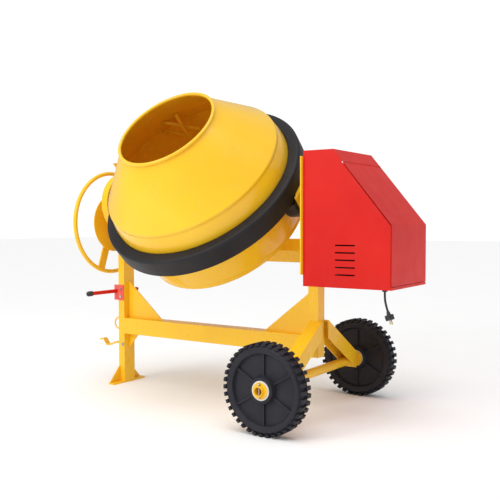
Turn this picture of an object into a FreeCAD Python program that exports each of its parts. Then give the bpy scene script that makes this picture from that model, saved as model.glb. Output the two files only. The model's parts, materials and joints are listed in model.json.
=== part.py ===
import FreeCAD, Part
import math
import os

# Tilting-drum concrete mixer, about 400 litres. Millimetres, +Z up.
# While it is built, X = 0 is the drum's mid-plane and Y = 0 lies midway between the wheels;
# at the end everything is moved so that the origin is under the middle of the whole machine.

V = FreeCAD.Vector
UNIT_X, UNIT_Y, UNIT_Z = V(1, 0, 0), V(0, 1, 0), V(0, 0, 1)

# ---- fits ----
RUN = 0.05            # radial clearance of a shaft that turns in its bore
SLIP = 0.3            # side clearance between moving faces
SEAT = 0.05           # clearance of a round part that is fixed in its seat

# ---- frame ----
FRAME_Y = 18.0        # the frame's mid-plane lies a little behind the wheels' middle
TILT_Z = 969.0        # height of the drum's tilting axis
POST_GAP = 1130.0     # between the posts' inner faces
POST_W, POST_D, POST_WALL = 41.0, 78.0, 5.0
REAR_W, REAR_D, REAR_WALL, REAR_BOTTOM = 52.0, 58.0, 4.0, 252.0
BEAM_H, BEAM_D, BEAM_WALL, BEAM_BOTTOM = 84.0, 78.0, 4.0, 267.0
FOOT_T, FOOT_L, FOOT_GUSSET_H, GUSSET_T = 8.0, 240.0, 84.0, 6.0
GUSSET_L, GUSSET_H, LOW_GUSSET_L, LOW_GUSSET_H = 236.0, 200.0, 70.0, 82.0
REAR_GUSSET_L, REAR_GUSSET_H = 250.0, 200.0

# ---- running gear ----
WHEEL_R, TYRE_W, WHEEL_TRACK = 191.0, 70.0, 862.0
WHEEL_BORE_R, HUB_R, HUB_W = 30.0, 52.0, 78.0
LUG_COUNT, LUG_DEPTH, RIB_COUNT = 38, 9.0, 6
AXLE_R, AXLE_WALL = 21.0, 3.5
BUSH_FLANGE_R, BUSH_FLANGE_T = 40.0, 5.0
COLLAR_R, COLLAR_L = 40.0, 22.0
WASHER_R, WASHER_T, PIN_R = 34.0, 3.0, 2.5
AXLE_SETBACK, STRUT_RISE = 42.0, 70.0
STRUT_W, STRUT_DEPTH, STRUT_SLOPE, STRUT_END_Y, STRUT_WALL = 64.0, 82.0, 0.634, 320.0, 5.0

# ---- drum, measured along its own axis from the tilting axis ----
DRUM_TILT = 47.0
WALL = 3.5
DISH_S, DISH_FLAT_R = -203.0, 110.0
BOTTOM_S, BOTTOM_R = -153.0, 435.0
SEAM_S, SEAM_R = 265.0, 477.0
MOUTH_S, MOUTH_R = 473.0, 240.0
BEAD_R = 8.0
HOOP_S, HOOP_T, HOOP_R = 94.0, 8.0, 492.0
BLADE_R, BLADE_COUNT = 9.0, 3
BLADE_BARS = [((-306, 238, 357), (-140, 333, 200)), ((-405, 291, 265), (-157, 277, 200)),
              ((-200, 350, 352), (-190, 290, 330)), ((-190, 290, 330), (-170, 262, 205))]

# ---- ring gear and pinion ----
RING_TEETH, PINION_TEETH, DRIVE_MODULE = 96, 12, 10.0
RING_FACE, RING_BACK_S, DRIVE_PLAY = 28.0, 86.0, 1.2
PRESSURE = math.radians(25.0)

# ---- guard ----
GUARD_R, GUARD_WALL, GUARD_LOW_S, GUARD_TOP_S = 520.0, 4.0, 47.0, 142.0
GUARD_INNER_R = 466.0
GUARD_GAP, GUARD_BEVEL = 1.0, 5.0
GUARD_PAD_GAP = 0.2
COVER_R, COVER_WALL, COVER_X = 78.0, 3.0, POST_GAP / 2 - 108.0

# ---- yoke ----
ARM_X, ARM_T, ARM_HALF, ARM_TOP = POST_GAP / 2 - 39.0, 12.0, 55.0, 68.0
CROSS_TOP_S, CROSS_H, CROSS_HALF, CROSS_WALL = -315.0, 90.0, 40.0, 7.0
HORN_V, HORN_TIP_S, HORN_END_V, HORN_END_S = 50.0, 246.0, 128.0, 184.0
TRUNNION_R, GEAR_SEAT_R, BLOCK_DROP = 30.0, 22.0, 46.0
SPINDLE_R, SPINDLE_FLANGE_R, SPINDLE_FLANGE_T = 25.0, 90.0, 12.0
BOLT_R = 5.0            # drum bolts
BEARING_R, BEARING_FLANGE_R, BEARING_FLANGE_T = 48.0, 75.0, 10.0

# ---- tilting gear, in the round case at the head of the front post ----
TILT_MODULE, TILT_TEETH, HAND_TEETH, TILT_PLAY = 4.0, 38, 14, 0.5
CASE_R, CASE_WALL = 160.0, 5.0
GEAR_T = 20.0
HAND_SHAFT_R, HAND_SHAFT_X = 12.5, -POST_GAP / 2 - POST_W - 100.0
WHEEL_PLANE_X, RIM_R, RIM_TUBE_R = HAND_SHAFT_X + 17.0, 278.6, 11.0
SPOKE_W, SPOKE_T, SPOKE_ANGLE = 45.0, 8.0, 19.0
LOCK_DISC_X, LOCK_DISC_R, LOCK_DISC_T = HAND_SHAFT_X + 39.0, 155.6, 6.0

# ---- motor house ----
PLATE_T, PLATE_FRONT, PLATE_REAR, PLATE_LOW, PLATE_TOP = 6.0, -176.0, 196.0, 640.0, TILT_Z + 181.0
HOUSE_FRONT, HOUSE_REAR, HOUSE_LOW, HOUSE_TOP = -160.0, 220.0, 590.0, TILT_Z + 205.0
RIDGE_X, HOUSE_END_X = POST_GAP / 2 + 202.0, POST_GAP / 2 + 467.0
SLOPE_LOW_Z, HINGE_SHARE = TILT_Z - 114.0, 0.17
SHEET, HINGE_R = 2.0, 2.5
LOUVRE_COUNT, LOUVRE_L, LOUVRE_PITCH, LOUVRE_SLOT = 5, 92.0, 31.0, 6.0
LOUVRE_X, LOUVRE_Z = RIDGE_X + 10.0, HOUSE_LOW + 52.0
SHAFT_R, BIG_PULLEY_R, SMALL_PULLEY_R, PULLEY_W = 15.0, 150.0, 36.0, 22.0
PULLEY_X, MOTOR_SHAFT_R = POST_GAP / 2 + 85.0, 12.0
MOTOR_Y, MOTOR_Z, MOTOR_R, MOTOR_L = 46.0, 712.0, 78.0, 220.0
BELT_W, BELT_T, BELT_DEPTH = 13.0, 9.0, 7.5

# ---- controls on the front post ----
PEDAL_Z, PEDAL_PIVOT_X = 208.0, -POST_GAP / 2 - 12.0
PEDAL_PIN_R, PEDAL_BOSS_R, PEDAL_W, PEDAL_T = 4.0, 6.5, 30.0, 8.0
PLUNGER_X, PLUNGER_R, PLUNGER_GAP, GUIDE_Z, GUIDE_T = -POST_GAP / 2 - 28.0, 5.0, 0.5, 560.0, 6.0
LATCH_Z, LATCH_R, LATCH_FRONT, LATCH_REAR = 495.0, 10.0, -205.0, 140.0
LATCH_X, SLEEVE_R = -POST_GAP / 2 - POST_W - 12.5, 12.0
LATCH_BOLT_X, LATCH_BOLT_Z = -POST_GAP / 2 - 20.0, (467.0, 507.0)
LOOP_Z, LOOP_R, LOOP_ROD_R = 321.0, 34.0, 4.0

# ---- mains lead, from the gland under the house to its plug ----
CORD_D = 9.0
CORD_X, CORD_Y = HOUSE_END_X - 47.0, -118.0
GLAND_R = 11.0
CORD_POINTS = [(0, 0, -6), (0, 0, -32), (5, -2, -58), (15, -5, -84)]

# ---- worked out from the above ----
POST_IN = -POST_GAP / 2
POST_OUT = POST_IN - POST_W
REAR_IN = POST_GAP / 2
REAR_OUT = REAR_IN + REAR_W
BEAM_TOP = BEAM_BOTTOM + BEAM_H
AXLE_X = REAR_IN + AXLE_SETBACK
CROSS_LOW_S = CROSS_TOP_S - CROSS_H
HAND_Z = TILT_Z - TILT_MODULE * (TILT_TEETH + HAND_TEETH) / 2
PINION_R = DRIVE_MODULE * PINION_TEETH / 2
RING_R = DRIVE_MODULE * RING_TEETH / 2
RING_PITCH_S = PINION_R
PLATE_X = REAR_OUT
HOUSE_X = PLATE_X + PLATE_T
GEAR_X0 = POST_OUT + CASE_WALL + 4.0
TILT_RAD = math.radians(DRUM_TILT)
TILT_POINT = V(0, FRAME_Y, TILT_Z)

PARTS = {}


def keep(name, shape):
    """Store a finished piece under its node name."""
    PARTS[name] = shape


def box(x0, x1, y0, y1, z0, z1):
    return Part.makeBox(x1 - x0, y1 - y0, z1 - z0, V(x0, y0, z0))


def rod(radius, start, end):
    """Solid round bar between two points."""
    start, end = V(*start), V(*end)
    return Part.makeCylinder(radius, (end - start).Length, start, end - start)


def x_rod(radius, x0, x1, y, z):
    """Solid round bar along X."""
    return rod(radius, (x0, y, z), (x1, y, z))


def y_rod(radius, y0, y1, x, z):
    """Solid round bar along Y."""
    return rod(radius, (x, y0, z), (x, y1, z))


def tube(outer, inner, start, end):
    """Round tube between two points, with its bore cut past both ends."""
    step = (V(*end) - V(*start)).normalize()
    return rod(outer, start, end).cut(rod(inner, V(*start) - step, V(*end) + step))


def x_tube(outer, inner, x0, x1, y, z):
    return tube(outer, inner, (x0, y, z), (x1, y, z))


def y_tube(outer, inner, y0, y1, x, z):
    return tube(outer, inner, (x, y0, z), (x, y1, z))


def prism(points, direction):
    """Straight extrusion of a flat outline."""
    corners = [V(*p) for p in points]
    return Part.Face(Part.makePolygon(corners + corners[:1])).extrude(V(*direction))


def turned(profile):
    """Solid of revolution about Z from (radius, height) corners."""
    corners = [V(r, 0, z) for r, z in profile]
    return Part.Face(Part.makePolygon(corners + corners[:1])).revolve(V(), UNIT_Z, 360)


def fuse(shapes):
    """Join overlapping solids into one clean solid."""
    joined = shapes[0]
    for shape in shapes[1:]:
        joined = joined.fuse(shape)
    return joined.removeSplitter()


def group(shapes):
    return Part.makeCompound(shapes)


def spun(shape, angle, centre, axis):
    copy = shape.copy()
    copy.rotate(centre, axis, angle)
    return copy


def turned_copies(shape, count, start=0.0):
    """Copies of a shape at equal steps round Z, as one list."""
    return [spun(shape, start + 360.0 / count * i, V(), UNIT_Z) for i in range(count)]


def tilted(shape):
    """Carry a piece from the drum's own axes (across, up the face, along the axis) into place."""
    copy = shape.copy()
    copy.rotate(V(), UNIT_X, DRUM_TILT)
    copy.translate(TILT_POINT)
    return copy


def hex_bolt(radius, length, point, direction, head=1.0):
    """Hexagon-head bolt. Its head stands on the point and its shank runs against the direction."""
    point, direction = V(*point), V(*direction).normalize()
    across = radius * 1.9 * head
    corners = [V(across * math.cos(math.radians(60 * i)), across * math.sin(math.radians(60 * i)), 0)
               for i in range(6)]
    cap = Part.Face(Part.makePolygon(corners + corners[:1])).extrude(UNIT_Z * radius * 1.3)
    shank = Part.makeCylinder(radius, length, V(0, 0, -length), UNIT_Z)
    bolt = cap.fuse(shank)
    bolt.Placement = FreeCAD.Placement(point, FreeCAD.Rotation(UNIT_Z, direction))
    return bolt


def involute(angle):
    return math.tan(angle) - angle


def gear_outline(teeth, module, play, start_angle):
    """Corners of a spur gear in the plane, with one tooth centred on start_angle (radians)."""
    pitch = module * teeth / 2
    base = pitch * math.cos(PRESSURE)
    root, tip = pitch - 1.25 * module, pitch + 0.9 * module
    half = (math.pi * module / 2 - play) / (2 * pitch) + involute(PRESSURE)
    radii = [base + (tip - base) * i / 4 for i in range(5)]
    flank = [(r, half - involute(math.acos(base / r))) for r in radii]
    if root < base:
        flank.insert(0, (root, half))
    corners = []
    for tooth in range(teeth):
        middle = start_angle + 2 * math.pi * tooth / teeth
        corners += [(r, middle - a) for r, a in flank]
        corners += [(r, middle + a) for r, a in reversed(flank)]
    return corners


def spur_gear(teeth, module, play, start_angle, centre, x0, x1):
    """Gear about a line along X through centre (y, z)."""
    points = [(x0, centre[0] + r * math.cos(a), centre[1] + r * math.sin(a))
              for r, a in gear_outline(teeth, module, play, start_angle)]
    return prism(points, (x1 - x0, 0, 0))


# ================= frame =================

def front_post():
    """C-section post, web towards the drum, hollowed at the top for the round gear case."""
    y0, y1 = FRAME_Y - POST_D / 2, FRAME_Y + POST_D / 2
    outer = box(POST_OUT, POST_IN, y0, y1, FOOT_T, TILT_Z - CASE_R + 20)
    inner = box(POST_OUT - 1, POST_IN - POST_WALL, y0 + POST_WALL, y1 - POST_WALL, 0, TILT_Z)
    post = outer.cut(inner)
    saddle = x_rod(CASE_R + SEAT, POST_OUT - 1, POST_IN + 1, FRAME_Y, TILT_Z)
    post = post.cut(saddle)
    post = post.cut(y_rod(PEDAL_PIN_R + SEAT, y0 - 1, y1 + 1, PEDAL_PIVOT_X, PEDAL_Z))
    for z in LATCH_BOLT_Z:
        post = post.cut(y_rod(4 + SEAT, y0 - 1, y0 + POST_WALL + 1, LATCH_BOLT_X, z))
    guide = box(POST_OUT + 2, POST_IN - POST_WALL + 1, y0 + 2, y1 - 2, GUIDE_Z, GUIDE_Z + GUIDE_T)
    loop_centre = V(POST_OUT + 1, y0 + POST_WALL / 2, LOOP_Z)
    loop = Part.makeTorus(LOOP_R - LOOP_ROD_R, LOOP_ROD_R, loop_centre, UNIT_Y)
    loop = loop.common(box(POST_OUT - 100, POST_OUT + 1, y0 - 20, y0 + 20, 0, 900))
    post = fuse([post, guide, loop])
    keep("front_post", post.cut(rod(PLUNGER_R + RUN, (PLUNGER_X, FRAME_Y, 100), (PLUNGER_X, FRAME_Y, 700))))


def foot():
    """Foot plate with a pointed gusset before and behind the post."""
    keep("foot_plate", box(POST_OUT, POST_IN, FRAME_Y - FOOT_L / 2, FRAME_Y + FOOT_L / 2, 0, FOOT_T))
    gussets = []
    for side in (-1, 1):
        root = FRAME_Y + side * POST_D / 2
        tip = FRAME_Y + side * (FOOT_L / 2 - 4)
        x = POST_OUT + 2
        gussets.append(prism([(x, root, FOOT_T), (x, tip, FOOT_T), (x, root, FOOT_T + FOOT_GUSSET_H)],
                             (GUSSET_T, 0, 0)))
    return gussets


def beams():
    """Lower beam of closed section, with gussets to both posts."""
    y0, y1 = FRAME_Y - BEAM_D / 2, FRAME_Y + BEAM_D / 2
    outer = box(POST_IN, REAR_IN, y0, y1, BEAM_BOTTOM, BEAM_TOP)
    inner = box(POST_IN - 1, REAR_IN + 1, y0 + BEAM_WALL, y1 - BEAM_WALL,
                BEAM_BOTTOM + BEAM_WALL, BEAM_TOP - BEAM_WALL)
    keep("main_beam", outer.cut(inner))
    y = FRAME_Y - GUSSET_T / 2
    upper = prism([(POST_IN, y, BEAM_TOP), (POST_IN + GUSSET_L, y, BEAM_TOP),
                   (POST_IN + GUSSET_L - 8, y, BEAM_TOP + 8), (POST_IN, y, BEAM_TOP + GUSSET_H)],
                  (0, GUSSET_T, 0))
    lower = prism([(POST_IN, y, BEAM_BOTTOM), (POST_IN + LOW_GUSSET_L, y, BEAM_BOTTOM),
                   (POST_IN, y, BEAM_BOTTOM - LOW_GUSSET_H)], (0, GUSSET_T, 0))
    rear = prism([(REAR_IN, y, BEAM_TOP), (REAR_IN - REAR_GUSSET_L, y, BEAM_TOP),
                  (REAR_IN - REAR_GUSSET_L + 8, y, BEAM_TOP + 8), (REAR_IN, y, BEAM_TOP + REAR_GUSSET_H)],
                 (0, GUSSET_T, 0))
    keep("frame_gussets", group([upper, lower, rear] + foot()))


def rear_post():
    """Closed square post with a capped top that carries the bearing block."""
    y0, y1 = FRAME_Y - REAR_D / 2, FRAME_Y + REAR_D / 2
    top = TILT_Z - BLOCK_DROP
    outer = box(REAR_IN, REAR_OUT, y0, y1, REAR_BOTTOM, top)
    inner = box(REAR_IN + REAR_WALL, REAR_OUT - REAR_WALL, y0 + REAR_WALL, y1 - REAR_WALL,
                REAR_BOTTOM - 1, top - REAR_WALL)
    keep("rear_post", outer.cut(inner))


def strut(side):
    """Folded channel, open below, from the rear post down to the axle."""
    start = REAR_D / 2
    x0, x1 = AXLE_X - STRUT_W / 2, AXLE_X + STRUT_W / 2
    top = BEAM_TOP + STRUT_RISE

    def outline(x, sheet, short, extra):
        reach = STRUT_END_Y - short
        end_z = top - STRUT_SLOPE * (reach - start)
        return [(x, FRAME_Y + side * start, top - sheet),
                (x, FRAME_Y + side * reach, end_z - sheet),
                (x, FRAME_Y + side * reach, end_z - STRUT_DEPTH - extra),
                (x, FRAME_Y + side * start, top - STRUT_DEPTH - extra)]

    outer = prism(outline(x0, 0, 0, 0), (x1 - x0, 0, 0))
    room = outline(x0 + STRUT_WALL, STRUT_WALL * 1.2, STRUT_WALL, 20)
    inner = prism(room, (x1 - x0 - 2 * STRUT_WALL, 0, 0))
    shape = outer.cut(inner)
    return shape.cut(y_rod(AXLE_R + SEAT, -500, 500, AXLE_X, WHEEL_R))


def axle():
    """Tube through both struts, with collars inside the wheels and washers and split pins outside."""
    hub_in = WHEEL_TRACK / 2 - HUB_W / 2 - BUSH_FLANGE_T - SLIP
    hub_out = WHEEL_TRACK / 2 + HUB_W / 2 + BUSH_FLANGE_T + SLIP
    end = hub_out + WASHER_T + 14
    pin_y = hub_out + WASHER_T + 5
    bar = y_tube(AXLE_R, AXLE_R - AXLE_WALL, -end, end, AXLE_X, WHEEL_R)
    collars, washers, pins = [], [], []
    for s in (-1, 1):
        hole = rod(PIN_R + SEAT, (AXLE_X, s * pin_y, 0), (AXLE_X, s * pin_y, 2 * WHEEL_R))
        bar = bar.cut(hole)
        collars.append(y_tube(COLLAR_R, AXLE_R + SEAT, s * (hub_in - COLLAR_L), s * hub_in,
                              AXLE_X, WHEEL_R))
        washers.append(y_tube(WASHER_R, AXLE_R + SEAT, s * hub_out, s * (hub_out + WASHER_T),
                              AXLE_X, WHEEL_R))
        leg = rod(PIN_R, (AXLE_X, s * pin_y, WHEEL_R - AXLE_R - 9), (AXLE_X, s * pin_y, WHEEL_R + AXLE_R + 3))
        eye = x_rod(2 * PIN_R, AXLE_X - 3, AXLE_X + 3, s * pin_y, WHEEL_R + AXLE_R + 6)
        pins.append(leg.fuse(eye))
    keep("axle_tube", bar)
    keep("axle_collars", group(collars + washers))
    keep("split_pins", group(pins))


def wheel(side, name):
    """One-piece solid wheel: lugged tread, dished disc with ribs, thick hub."""
    mid = side * WHEEL_TRACK / 2
    tread = WHEEL_R - LUG_DEPTH
    half, disc = TYRE_W / 2, 14.0
    rim_in = tread - 34
    body = turned([(WHEEL_BORE_R + SEAT, -HUB_W / 2), (HUB_R, -HUB_W / 2), (HUB_R + 8, -disc),
                   (rim_in - 6, -disc), (rim_in, -half + 6), (tread - 12, -half), (tread, -half + 14),
                   (tread, half - 14), (tread - 12, half), (rim_in, half - 6), (rim_in - 6, disc),
                   (HUB_R + 8, disc), (HUB_R, HUB_W / 2), (WHEEL_BORE_R + SEAT, HUB_W / 2)])
    lug_w = 2 * math.pi * WHEEL_R / LUG_COUNT * 0.52
    lugs = []
    for i in range(LUG_COUNT):
        for s in (-1, 1):
            angle = (i + (0.25 if s > 0 else -0.25)) * 360.0 / LUG_COUNT
            z0, z1 = (2, half - 3) if s > 0 else (-half + 3, -2)
            lug = Part.makeBox(LUG_DEPTH + 3, lug_w, z1 - z0, V(tread - 3, -lug_w / 2, z0))
            lugs.append(spun(lug, angle, V(), UNIT_Z))
    ribs = [spun(Part.makeBox(rim_in - HUB_R + 2, 9, 2 * disc + 16, V(HUB_R - 1, -4.5, -disc - 8)),
                 i * 360.0 / RIB_COUNT + 30, V(), UNIT_Z) for i in range(RIB_COUNT)]
    shape = body.multiFuse(lugs + ribs)
    shape.rotate(V(), UNIT_X, 90)
    shape.translate(V(AXLE_X, mid, WHEEL_R))
    shape = shape.common(y_rod(WHEEL_R, mid - 60, mid + 60, AXLE_X, WHEEL_R))
    keep(name, shape)
    flange = BUSH_FLANGE_T
    bushes = []
    for s in (-1, 1):
        face = mid + s * HUB_W / 2
        sleeve = y_tube(WHEEL_BORE_R, AXLE_R + RUN, face - s * 30, face, AXLE_X, WHEEL_R)
        lip = y_tube(BUSH_FLANGE_R, AXLE_R + RUN, face, face + s * flange, AXLE_X, WHEEL_R)
        bushes.append(sleeve.fuse(lip).removeSplitter())
    keep(name + "_bushes", group(bushes))


# ================= drum =================

def drum():
    """Lower bowl and upper cone, welded at the seam, with a rolled bead round the mouth."""
    bend = 26.0
    bowl = [(SPINDLE_R + 20, DISH_S), (DISH_FLAT_R, DISH_S), (BOTTOM_R - 60, BOTTOM_S - 16),
            (BOTTOM_R - 14, BOTTOM_S - 4), (BOTTOM_R, BOTTOM_S + bend / 2), (SEAM_R, SEAM_S)]
    inner = [(SEAM_R - WALL, SEAM_S), (BOTTOM_R - WALL, BOTTOM_S + bend / 2 + 1),
             (BOTTOM_R - 14 - WALL, BOTTOM_S), (BOTTOM_R - 62, BOTTOM_S - 16 + WALL),
             (DISH_FLAT_R, DISH_S + WALL), (SPINDLE_R + 20, DISH_S + WALL)]
    keep("drum_bowl", tilted(turned(bowl + inner)))
    cone = [(SEAM_R, SEAM_S), (SEAM_R, SEAM_S + 10), (MOUTH_R, MOUTH_S), (MOUTH_R - WALL, MOUTH_S),
            (SEAM_R - WALL - 1, SEAM_S + 9), (SEAM_R - WALL, SEAM_S)]
    bead_s = MOUTH_S + BEAD_R * 0.8
    bead = Part.makeTorus(MOUTH_R + 2, BEAD_R, V(0, 0, bead_s), UNIT_Z)
    keep("drum_cone", tilted(fuse([turned(cone), bead])))
    radius = drum_radius(HOOP_S - HOOP_T)
    hoop = turned([(radius - 1, HOOP_S - HOOP_T), (HOOP_R, HOOP_S - HOOP_T), (HOOP_R, HOOP_S),
                   (radius - 1, HOOP_S)])
    low, high = HOOP_S - 40, HOOP_S + 40
    wall = turned([(1, low), (drum_radius(low), low), (drum_radius(high), high), (1, high)])
    keep("gear_hoop", tilted(hoop.cut(wall)))


def drum_radius(s):
    """Outside radius of the bowl's tapered wall at a place along the axis."""
    low = BOTTOM_S + 13.0
    return BOTTOM_R + (SEAM_R - BOTTOM_R) * (s - low) / (SEAM_S - low)


def ring_gear():
    """Cast ring in four segments, teeth facing the pinion, bolted up to the hoop."""
    tooth_low = RING_PITCH_S - 0.9 * DRIVE_MODULE
    root = RING_PITCH_S + 1.25 * DRIVE_MODULE
    r0, r1 = RING_R - RING_FACE / 2, RING_R + RING_FACE / 2
    half = (math.pi * DRIVE_MODULE / 2 - DRIVE_PLAY) / 2
    spread = math.tan(PRESSURE)
    at_tip = half - 0.9 * DRIVE_MODULE * spread
    at_root = half + 1.25 * DRIVE_MODULE * spread
    tooth = prism([(r0, -at_tip, tooth_low), (r0, at_tip, tooth_low), (r0, at_root, root + 0.5),
                   (r0, -at_root, root + 0.5)], (r1 - r0, 0, 0))
    rim = turned([(r0, root), (r1, root), (r1, RING_BACK_S), (r0, RING_BACK_S)])
    body = rim.multiFuse(turned_copies(tooth, RING_TEETH, 180.0 / RING_TEETH))
    segments = []
    for i in range(4):
        wedge = Part.makeCylinder(HOOP_R + 30, 80, V(0, 0, 40), UNIT_Z, 90 - 0.1)
        segments.append(spun(wedge, 90 * i + 0.05, V(), UNIT_Z).common(body))
    keep("ring_gear", tilted(group([solid for piece in segments for solid in piece.Solids])))
    bolt = hex_bolt(BOLT_R, 10.0, (RING_R - 4, 0, HOOP_S), (0, 0, 1))
    hole = Part.makeCylinder(BOLT_R + SEAT, 60, V(RING_R - 4, 0, HOOP_S - 10.1), UNIT_Z)
    holes = group(turned_copies(hole, 8, 22.5))
    PARTS["ring_gear"] = PARTS["ring_gear"].cut(tilted(holes))
    PARTS["gear_hoop"] = PARTS["gear_hoop"].cut(tilted(holes))
    return turned_copies(bolt, 8, 22.5)


def inside(clear):
    """The room inside the drum, kept a little clear of its wall."""
    slim = WALL + clear
    return turned([(0, DISH_S + slim), (DISH_FLAT_R, DISH_S + slim), (BOTTOM_R - 62, BOTTOM_S - 16 + slim),
                   (BOTTOM_R - slim - 4, BOTTOM_S + 14), (SEAM_R - slim, SEAM_S),
                   (SEAM_R - slim - 1, SEAM_S + 8.8), (MOUTH_R - slim, MOUTH_S - 0.2), (0, MOUTH_S - 0.2)])


def blades():
    """Mixing blades: two round bars out from the wall, tied by a cranked cross bar."""
    room = inside(SLIP)
    bend = Part.makeSphere(BLADE_R, V(*BLADE_BARS[2][1]))
    single = fuse([rod(BLADE_R, a, b) for a, b in BLADE_BARS] + [bend])
    pieces = turned_copies(single.common(room), BLADE_COUNT)
    keep("mixing_blades", tilted(group([solid for piece in pieces for solid in piece.Solids])))


def spindle():
    """Stub shaft with a round flange bolted under the drum."""
    low, seat = DISH_S - SPINDLE_FLANGE_T, SPINDLE_FLANGE_R - 15
    flange = Part.makeCylinder(SPINDLE_FLANGE_R, SPINDLE_FLANGE_T, V(0, 0, low), UNIT_Z)
    shaft = Part.makeCylinder(SPINDLE_R, low - CROSS_TOP_S + 30, V(0, 0, CROSS_TOP_S - 30), UNIT_Z)
    hole = Part.makeCylinder(BOLT_R + SEAT, 60, V(seat, 0, DISH_S - 30), UNIT_Z)
    holes = turned_copies(hole, 6)
    bolt = hex_bolt(BOLT_R, SPINDLE_FLANGE_T + WALL, (seat, 0, DISH_S + WALL), (0, 0, 1))
    bolts = turned_copies(bolt, 6)
    keep("drum_spindle", tilted(flange.fuse(shaft).removeSplitter().cut(group(holes))))
    keep("drum_bolts", tilted(group(bolts + ring_gear())))
    PARTS["drum_bowl"] = PARTS["drum_bowl"].cut(tilted(group(holes)))


# ================= yoke =================

def yoke():
    """U-shaped yoke: a channel across behind the drum and a flat arm up each side."""
    end = ARM_X
    outer = box(-end, end, -CROSS_HALF, CROSS_HALF, CROSS_LOW_S, CROSS_TOP_S)
    inner = box(-end - 1, end + 1, -CROSS_HALF + CROSS_WALL, CROSS_HALF + 1, CROSS_LOW_S + CROSS_WALL,
                CROSS_TOP_S - CROSS_WALL)
    beam = outer.cut(inner).cut(Part.makeCylinder(SPINDLE_R + 3, 60, V(0, 0, CROSS_TOP_S - 50), UNIT_Z))
    keep("yoke_beam", tilted(beam))
    for side, name in ((-1, "yoke_arm_front"), (1, "yoke_arm_rear")):
        x0 = side * ARM_X
        outline = [(x0, -ARM_HALF, CROSS_LOW_S), (x0, ARM_HALF, CROSS_LOW_S), (x0, ARM_HALF, ARM_TOP)]
        if side < 0:
            outline += [(x0, HORN_END_V, HORN_END_S), (x0, HORN_V, HORN_TIP_S), (x0, HORN_V - 4, ARM_TOP)]
        outline += [(x0, -ARM_HALF, ARM_TOP)]
        arm = prism(outline, (side * ARM_T, 0, 0))
        bore = TRUNNION_R + SEAT
        arm = arm.cut(x_rod(bore, x0 - 20, x0 + 20, 0, 0))
        pads = box(*sorted((side * (GUARD_R + GUARD_PAD_GAP), x0)), -30, 30, GUARD_LOW_S + 2, ARM_TOP - 2)
        keep(name, tilted(fuse([arm, pads])))


def spindle_bearing():
    """Flanged bearing housing on the crossbeam that carries the drum's spindle."""
    low, high = CROSS_TOP_S, DISH_S - SPINDLE_FLANGE_T - SLIP
    step = low + BEARING_FLANGE_T
    body = turned([(SPINDLE_R + RUN, low), (BEARING_FLANGE_R, low), (BEARING_FLANGE_R, step),
                   (BEARING_R, step), (BEARING_R, high), (SPINDLE_R + RUN, high)])
    keep("spindle_bearing", tilted(body))


def guard():
    """Plastic gear guard: a wall and a top flange, in quarter segments, held by pads on the arms."""
    profile = [(GUARD_INNER_R, GUARD_TOP_S - GUARD_WALL), (GUARD_R - GUARD_WALL, GUARD_TOP_S - GUARD_WALL),
               (GUARD_R - GUARD_WALL, GUARD_LOW_S), (GUARD_R, GUARD_LOW_S),
               (GUARD_R, GUARD_TOP_S - GUARD_BEVEL), (GUARD_R - GUARD_BEVEL, GUARD_TOP_S),
               (GUARD_INNER_R, GUARD_TOP_S)]
    ring = turned(profile)
    half, reach = GUARD_GAP / 2, GUARD_R + 10
    high = GUARD_TOP_S + 10
    slits = [box(-reach, reach, -half, half, 0, high), box(-half, half, -reach, reach, 0, high)]
    keep("gear_guard", tilted(group(ring.cut(group(slits)).Solids)))


def pinion_cover():
    """Plastic cap round the pinion, screwed to the rear arm and open towards the ring gear."""
    outer = x_rod(COVER_R, COVER_X, ARM_X, 0, 0)
    x0, x1, half = COVER_X + COVER_WALL, ARM_X - COVER_WALL, COVER_R - COVER_WALL
    inner = x_rod(half, x0, x1, 0, 0)
    top = GUARD_LOW_S - 1.0
    sides = box(COVER_X, ARM_X, -COVER_R, COVER_R, 0, top)
    room = box(x0, x1, -half, half, 0, top + 1)
    above = box(0, 900, -300, 300, top, 900)
    shell = outer.fuse(sides).cut(inner).cut(room).cut(above)
    shell = shell.cut(x_rod(SHAFT_R + 1, ARM_X - 20, ARM_X + 1, 0, 0))
    keep("pinion_cover", tilted(shell.removeSplitter()))


def trunnions():
    """Hollow rear trunnion for the pinion shaft, solid front trunnion with the tilting gear."""
    rear = x_tube(TRUNNION_R, SHAFT_R + RUN, ARM_X, REAR_OUT - 2, 0, 0)
    keep("rear_trunnion", tilted(rear))
    shoulder = POST_IN - 2 * CASE_WALL
    front = x_rod(TRUNNION_R, -ARM_X, shoulder, 0, 0).fuse(x_rod(GEAR_SEAT_R, shoulder, GEAR_X0, 0, 0))
    keep("front_trunnion", tilted(front.removeSplitter()))


def tilting_gears():
    """Gear on the front trunnion and the pinion on the handwheel's shaft, in mesh."""
    x0, x1 = GEAR_X0, GEAR_X0 + GEAR_T
    gear = spur_gear(TILT_TEETH, TILT_MODULE, TILT_PLAY, -math.pi / 2, (FRAME_Y, TILT_Z), x0, x1)
    keep("tilt_gear", gear.cut(x_rod(GEAR_SEAT_R + SEAT, -900, 0, FRAME_Y, TILT_Z)))
    start = math.pi / 2 + math.pi / HAND_TEETH
    pinion = spur_gear(HAND_TEETH, TILT_MODULE, TILT_PLAY, start, (FRAME_Y, HAND_Z), x0, x1)
    keep("tilt_pinion", pinion.cut(x_rod(HAND_SHAFT_R + SEAT, -900, 0, FRAME_Y, HAND_Z)))


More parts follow.
